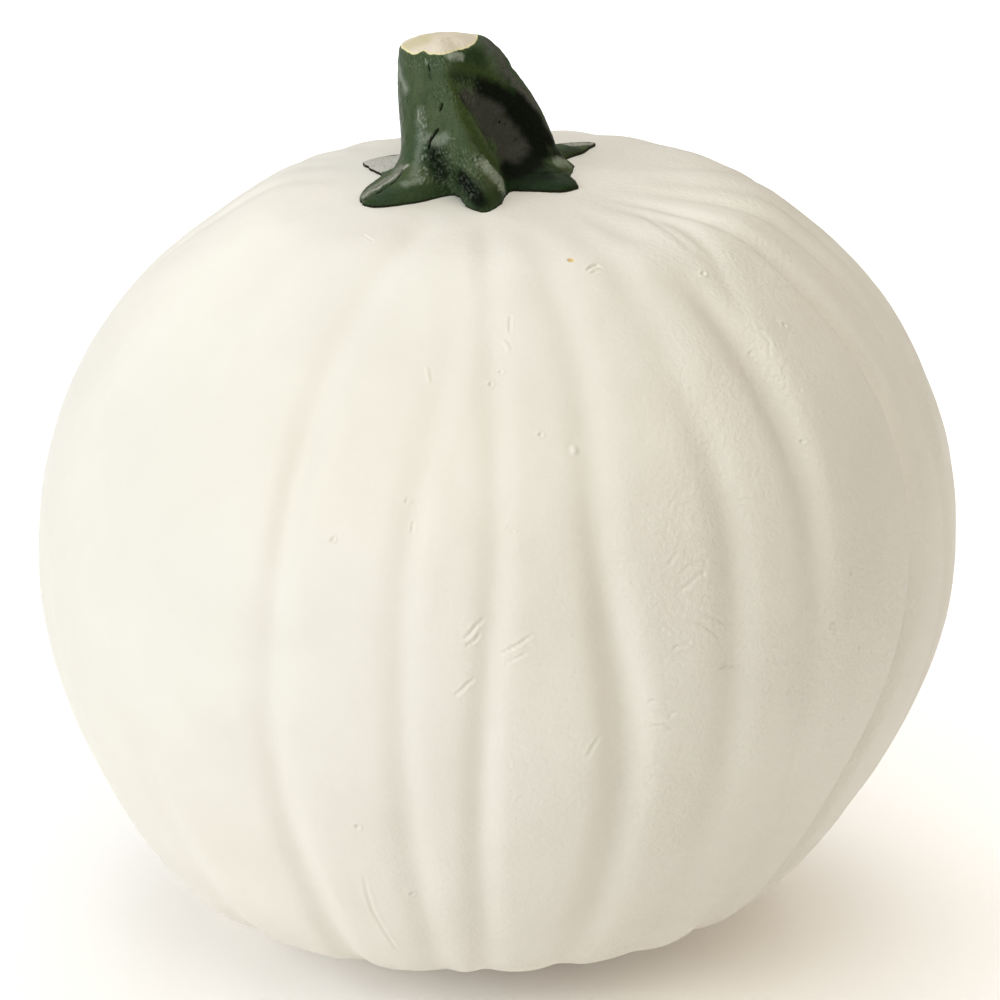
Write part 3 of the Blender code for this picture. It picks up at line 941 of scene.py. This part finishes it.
def stem_details(points, normals, azimuth, level, scale):
    """Points of the stem with its relief, and how strong each paint, painted shade and painted
    highlight is at them.
    """
    seen = Seen(points)
    side = scale == 1
    out = normals.copy()
    out[:, 2] = 0
    out /= np.maximum(np.linalg.norm(out, axis=1, keepdims=True), LEAST_OUTWARD)
    moved = points + out * (foot_outline(azimuth, level) * side)[:, None]
    lift = unevenness(points, STEM_UNEVENNESS) + unevenness(points * STREAK_STRETCH, STEM_STREAKS)
    for height, width, pixels in STEM_RELIEF:
        away, along = distance_to_line(points, seen.line(pixels))
        taper = np.clip(4 * along * (1 - along) * 2, 0, 1) if len(pixels) > 1 else 1.0
        lift += height * np.exp(-((away / width) ** 2)) * np.sqrt(taper)
    crests = np.zeros(len(points))
    for number, (height, length, highlight_and_wear, half_width, softness, pixels) in enumerate(STEM_ROUGH):
        place = stroke(points, seen.line(pixels), half_width, softness, 0)
        folds = wrinkles(points, length, ROUGH_SEED + number)
        lift += height * place * folds
        crests = np.maximum(crests, highlight_and_wear * place * smooth_step(*CREST_HIGHLIGHT_AND_WEAR, folds))
    foot = smooth_step(*FOOT_FADE, level)
    moved += normals * (lift * foot)[:, None]
    ragged = unevenness(points, STROKE_RAGGEDNESS)
    masks = {}
    for kind, strength, half_width, softness, pixels in STEM_STROKES:
        layer = strength * stroke(points, seen.line(pixels), half_width, softness, ragged)
        masks[kind] = np.maximum(masks.get(kind, 0), layer)
    # Painted highlight and worn paint on the crests of the folds
    masks["highlight_and_wear"] = np.maximum(masks["highlight_and_wear"], crests)
    masks["edge"] = smooth_step(*FOOT_EDGE, level)
    rim = closed_spline(*zip(*CREAM_BORDER), azimuth)
    inward = np.where(side, level - STEM_HEIGHT, (1 - scale) * CUT_FACE_RADIUS)
    masks["cream"] = inward - rim + unevenness(points, CREAM_RAGGEDNESS)
    return moved, masks


def loft(name, points, columns, masks):
    """A closed mesh over rings of points, its first and last ring closed to their own middles."""
    rings = len(points) // columns
    middles = points[:columns].mean(axis=0), points[-columns:].mean(axis=0)
    points = np.concatenate((points, middles))
    below, above = len(points) - 2, len(points) - 1
    last = (rings - 1) * columns
    faces = []
    for column in range(columns):
        after = (column + 1) % columns
        for start in range(0, last, columns):
            up = start + columns
            faces.append((start + column, start + after, up + after, up + column))
        faces.append((below, after, column))
        faces.append((above, last + column, last + after))
    mesh = bpy.data.meshes.new(name)
    mesh.from_pydata((points * MM).tolist(), [], faces)
    mesh.shade_smooth()
    for mask_name, mask in masks.items():
        add_attribute(mesh, mask_name, np.concatenate((mask, mask[:1], mask[-1:])))
    return link(name, mesh)


# Sockets of Blender's mix node: its inputs and output for values, and for colours
VALUES = (2, 3, 0)
COLOURS = (6, 7, 2)


def new_material(name):
    material = bpy.data.materials.new(name)
    material.use_nodes = True
    return material, material.node_tree, material.node_tree.nodes["Principled BSDF"]


# Skin: its colours and roughness at heights of the mottling, noises as scale and detail, and the
# range of a noise that a colour comes in over, with its most
SKIN_IVORY = ((0.35, (0.80, 0.765, 0.70)), (0.65, (0.83, 0.80, 0.735)))
SKIN_STAIN = (0.80, 0.755, 0.665)
CHIP_FOAM = (0.75, 0.52, 0.18)
SKIN_ROUGHNESS = ((0.3, (0.50,) * 3), (0.7, (0.60,) * 3))
SKIN_MOTTLE = (30, 4)
SKIN_STAINS = (12, 5)
STAIN_RANGE = (0.52, 0.72, 0.5)
SKIN_GRAIN = (700, 3)
SKIN_FINE_GRAIN = (1500, 2)

# Stem: the same of its green paint, and of its cream paint
STEM_GREEN = ((0.35, (0.042, 0.068, 0.027)), (0.65, (0.070, 0.099, 0.044)))
STEM_BLOTCH = (0.030, 0.066, 0.030)
STEM_SPECK = (0.010, 0.018, 0.006)
STEM_ROUGHNESS = ((0.0, (0.34,) * 3), (1.0, (0.50,) * 3))
STEM_SPECULAR = 0.11
STEM_BRUSHING = (260, 4, (1, 1, 0.3))
BRUSHING_RANGE = (0.2, 0.8)
STEM_BLOTCHES = (90, 3)
BLOTCH_RANGE = (0.5, 0.75)
STEM_SPECKS = (1700, 2)
SPECK_RANGE = (0.56, 0.68, 0.45)
STEM_GRAIN = (1500, 3)
STEM_BRISTLES = (700, 3, (1, 1, 0.35))
CREAM = ((0.35, (0.69, 0.61, 0.50)), (0.65, (0.74, 0.66, 0.55)))
CREAM_TAN = (0.61, 0.54, 0.36)
CREAM_LIP = (0.78, 0.70, 0.42)
CREAM_ROUGHNESS = 0.6
CREAM_CLOUDS = (160, 3)

# Millimetres past the cream paint's border that it comes in over, and that its yellow lip ends over
CREAM_START = (-0.08, 0.08)
LIP_END = (0.5, 0.25)

# Paints over the stem's green, from the lowest: kind, colour and roughness. Several are painted
# shade, sheen and highlights rather than paint of the stem
STEM_PAINTS = (
    # Deeper green paint and painted shade
    ("deep_green_and_shade", (0.010, 0.027, 0.007), 0.42),
    ("olive", (0.036, 0.060, 0.015), 0.5),
    ("grey", (0.046, 0.047, 0.038), 0.8),
    # Painted shade, near black
    ("painted_shade", (0.001, 0.003, 0.0005), 0.8),
    # Painted sheen, light grey
    ("rim_sheen", (0.082, 0.084, 0.073), 0.8),
    # Painted highlight and worn paint, light grey-green
    ("highlight_and_wear", (0.24, 0.28, 0.22), 0.36),
    # Painted sheen, grey
    ("wedge_sheen", (0.19, 0.20, 0.155), 0.7),
    # Painted sheen and glint, pale grey
    ("toe_sheen", (0.50, 0.48, 0.43), 0.8),
    ("edge", (0.012, 0.014, 0.006), 0.6),
    # Painted shade in cracks and pinholes, black
    ("crack_shade", (0.003, 0.004, 0.002), 0.8),
)


def mix(tree, factor, below, above, sockets):
    """Lays a constant or a socket over a socket by a factor socket."""
    lower, upper, result = sockets
    node = tree.nodes.new("ShaderNodeMix")
    node.data_type = "RGBA" if sockets is COLOURS else "FLOAT"
    tree.links.new(factor, node.inputs[0])
    tree.links.new(below, node.inputs[lower])
    if isinstance(above, bpy.types.NodeSocket):
        tree.links.new(above, node.inputs[upper])
    else:
        node.inputs[upper].default_value = above
    return node.outputs[result]


def mix_colour(tree, factor, below, colour):
    return mix(tree, factor, below, (*colour, 1), COLOURS)


def mix_value(tree, factor, below, value):
    return mix(tree, factor, below, value, VALUES)


def attribute(tree, name):
    node = tree.nodes.new("ShaderNodeAttribute")
    node.attribute_name = name
    return node.outputs["Fac"]


def noise(tree, scale, detail, stretch=(1, 1, 1)):
    """A noise socket over the object's own coordinates, stretched along its axes."""
    place = tree.nodes.new("ShaderNodeTexCoord")
    mapping = tree.nodes.new("ShaderNodeMapping")
    mapping.inputs["Scale"].default_value = stretch
    node = tree.nodes.new("ShaderNodeTexNoise")
    node.inputs["Scale"].default_value = scale
    node.inputs["Detail"].default_value = detail
    tree.links.new(place.outputs["Object"], mapping.inputs["Vector"])
    tree.links.new(mapping.outputs["Vector"], node.inputs["Vector"])
    return node.outputs["Fac"]


def ramp(tree, factor, stops):
    """Colours or greys between positions of a factor socket."""
    node = tree.nodes.new("ShaderNodeValToRGB")
    for element, (position, colour) in zip(node.color_ramp.elements, stops):
        element.position = position
        element.color = (*colour, 1)
    tree.links.new(factor, node.inputs["Fac"])
    return node.outputs["Color"]


def times(tree, one, other):
    node = tree.nodes.new("ShaderNodeMath")
    node.operation = "MULTIPLY"
    tree.links.new(one, node.inputs[0])
    tree.links.new(other, node.inputs[1])
    return node.outputs["Value"]


def bump(tree, shader, layers):
    """Stacks bumps: height socket, strength and distance in metres of each."""
    normal = None
    for height, strength, distance in layers:
        node = tree.nodes.new("ShaderNodeBump")
        node.inputs["Strength"].default_value = strength
        node.inputs["Distance"].default_value = distance
        tree.links.new(height, node.inputs["Height"])
        if normal:
            tree.links.new(normal, node.inputs["Normal"])
        normal = node.outputs["Normal"]
    tree.links.new(normal, shader.inputs["Normal"])


def step(tree, value, start, end, most=1.0):
    """0 below start and the most above end of a value socket, straight between them."""
    node = tree.nodes.new("ShaderNodeMapRange")
    node.inputs["To Max"].default_value = most
    node.inputs["From Min"].default_value = start
    node.inputs["From Max"].default_value = end
    tree.links.new(value, node.inputs["Value"])
    return node.outputs["Result"]


def skin_material():
    material, tree, shader = new_material("ivory_skin")
    mottle = noise(tree, *SKIN_MOTTLE)
    colour = ramp(tree, mottle, SKIN_IVORY)
    stains = step(tree, noise(tree, *SKIN_STAINS), *STAIN_RANGE)
    colour = mix_colour(tree, stains, colour, SKIN_STAIN)
    colour = mix_colour(tree, attribute(tree, "chip"), colour, CHIP_FOAM)
    tree.links.new(colour, shader.inputs["Base Color"])
    tree.links.new(ramp(tree, mottle, SKIN_ROUGHNESS), shader.inputs["Roughness"])
    peel = attribute(tree, "peel")
    grain = times(tree, noise(tree, *SKIN_GRAIN), peel)
    fine = times(tree, noise(tree, *SKIN_FINE_GRAIN), peel)
    bump(tree, shader, ((grain, 0.8, PEEL_HEIGHT), (fine, 0.5, PEEL_HEIGHT / 2)))
    return material


def stem_material():
    material, tree, shader = new_material("stem_paint")
    streaks = noise(tree, *STEM_BRUSHING)
    colour = ramp(tree, streaks, STEM_GREEN)
    blotches = step(tree, noise(tree, *STEM_BLOTCHES), *BLOTCH_RANGE)
    colour = mix_colour(tree, blotches, colour, STEM_BLOTCH)
    roughness = ramp(tree, step(tree, streaks, *BRUSHING_RANGE), STEM_ROUGHNESS)
    for kind, paint, dullness in STEM_PAINTS:
        colour = mix_colour(tree, attribute(tree, kind), colour, paint)
        roughness = mix_value(tree, attribute(tree, kind), roughness, dullness)
    specks = step(tree, noise(tree, *STEM_SPECKS), *SPECK_RANGE)
    colour = mix_colour(tree, specks, colour, STEM_SPECK)
    border = attribute(tree, "cream")
    top = step(tree, border, *CREAM_START)
    cream = ramp(tree, noise(tree, *CREAM_CLOUDS), CREAM)
    cream = mix_colour(tree, attribute(tree, "tan"), cream, CREAM_TAN)
    cream = mix_colour(tree, step(tree, border, *LIP_END), cream, CREAM_LIP)
    tree.links.new(mix(tree, top, colour, cream, COLOURS), shader.inputs["Base Color"])
    roughness = mix_value(tree, top, roughness, CREAM_ROUGHNESS)
    tree.links.new(roughness, shader.inputs["Roughness"])
    shader.inputs["Specular IOR Level"].default_value = STEM_SPECULAR
    grain, bristles = noise(tree, *STEM_GRAIN), noise(tree, *STEM_BRISTLES)
    bump(tree, shader, ((grain, 0.5, 0.0003), (bristles, 0.4, 0.0004)))
    return material


# Lights: name, place and aim in metres, size, spread in degrees, power in watts and colour
SUBJECT = (0.0, 0.0, 0.11)
LIGHTS = (
    ("key", (-1.1, -0.9, 0.75), SUBJECT, 0.9, 180, 12.1, (0.96, 0.99, 1.0)),
    ("left_fill", (-1.4, 0.0, 0.45), SUBJECT, 0.9, 180, 2.7, (0.87, 1.0, 0.99)),
    ("front_fill", (0.1, -1.0, 1.2), SUBJECT, 0.8, 180, 6.0, (1.0, 0.99, 0.94)),
    ("right_fill", (0.9, -0.6, 1.1), SUBJECT, 0.8, 180, 3.9, (1.0, 0.86, 0.60)),
    ("top", (0.0, 0.0, 1.5), SUBJECT, 1.0, 180, 4.7, (1.0, 0.99, 0.92)),
    ("back_left", (-0.9, 1.0, 0.7), SUBJECT, 0.8, 180, 4.5, (1.0, 0.91, 0.84)),
    ("back_right", (0.9, 1.0, 0.7), SUBJECT, 0.8, 180, 1.4, (1.0, 0.76, 0.44)),
    ("floor_far", (0.0, 1.6, 1.0), (0.0, 0.9, 0.0), 1.4, 120, 2.2, (1.0, 0.95, 0.90)),
    ("floor_middle", (0.0, 1.0, 1.2), (0.0, 1.0, 0.0), 1.2, 90, 5.8, (0.82, 0.91, 1.0)),
    ("floor_right", (0.75, 0.35, 0.9), (0.75, 0.35, 0.0), 0.6, 76, 2.3, (1.0, 0.96, 0.95)),
)
FLOOR_RADIUS = 40.0
FLOOR_CORNERS = 96
FLOOR_COLOUR = (0.92, 0.92, 0.92)
FLOOR_ROUGHNESS = 0.9
FLOOR_GLOW = 0.13
FLOOR_GLOW_COLOUR = (1.0, 0.88, 0.76)


def make_stage():
    bpy.ops.mesh.primitive_circle_add(
        vertices=FLOOR_CORNERS, radius=FLOOR_RADIUS, fill_type="NGON"
    )
    floor = bpy.context.object
    floor.name = "floor"
    material, _, shader = new_material("pale_floor")
    shader.inputs["Base Color"].default_value = (*FLOOR_COLOUR, 1)
    shader.inputs["Roughness"].default_value = FLOOR_ROUGHNESS
    shader.inputs["Emission Color"].default_value = (*FLOOR_GLOW_COLOUR, 1)
    shader.inputs["Emission Strength"].default_value = FLOOR_GLOW
    floor.data.materials.append(material)
    floor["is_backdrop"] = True


def make_camera():
    place = frame_centre() - camera_axes()[2] * CAMERA_DISTANCE
    data = bpy.data.cameras.new("camera")
    data.sensor_width = SENSOR_WIDTH
    data.lens = SENSOR_WIDTH * PIXELS_PER_MM * CAMERA_DISTANCE / FRAME_PIXELS
    camera = bpy.data.objects.new("camera", data)
    camera.location = place * MM
    camera.rotation_euler = (math.pi / 2 - CAMERA_ELEVATION, 0, 0)
    bpy.context.scene.collection.objects.link(camera)
    bpy.context.scene.camera = camera


def add_light(name, place, aim, size, spread, power, colour):
    data = bpy.data.lights.new(name, "AREA")
    data.size = size
    data.spread = math.radians(spread)
    data.energy = power
    data.color = colour
    lamp = bpy.data.objects.new(name, data)
    lamp.location = place
    lamp.rotation_euler = (Vector(aim) - Vector(place)).to_track_quat("-Z", "Y").to_euler()
    bpy.context.scene.collection.objects.link(lamp)


def make_lights():
    world = bpy.data.worlds.new("studio")
    world.use_nodes = True
    world.node_tree.nodes["Background"].inputs["Strength"].default_value = 0.0
    bpy.context.scene.world = world
    for light in LIGHTS:
        add_light(*light)
    bpy.context.scene.view_settings.view_transform = "Standard"


def main():
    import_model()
    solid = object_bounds()
    make_camera()
    skin = make_skin()
    skin.data.materials.append(skin_material())
    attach(skin, "root")
    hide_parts("body")
    stem = make_stem()
    stem.data.materials.append(stem_material())
    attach(stem, "root")
    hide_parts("stem")
    make_stage()
    make_lights()
    boxes = {"solid": solid, "visual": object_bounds()}
    boxes = {name: [list(corner) for corner in box] for name, box in boxes.items()}


main()
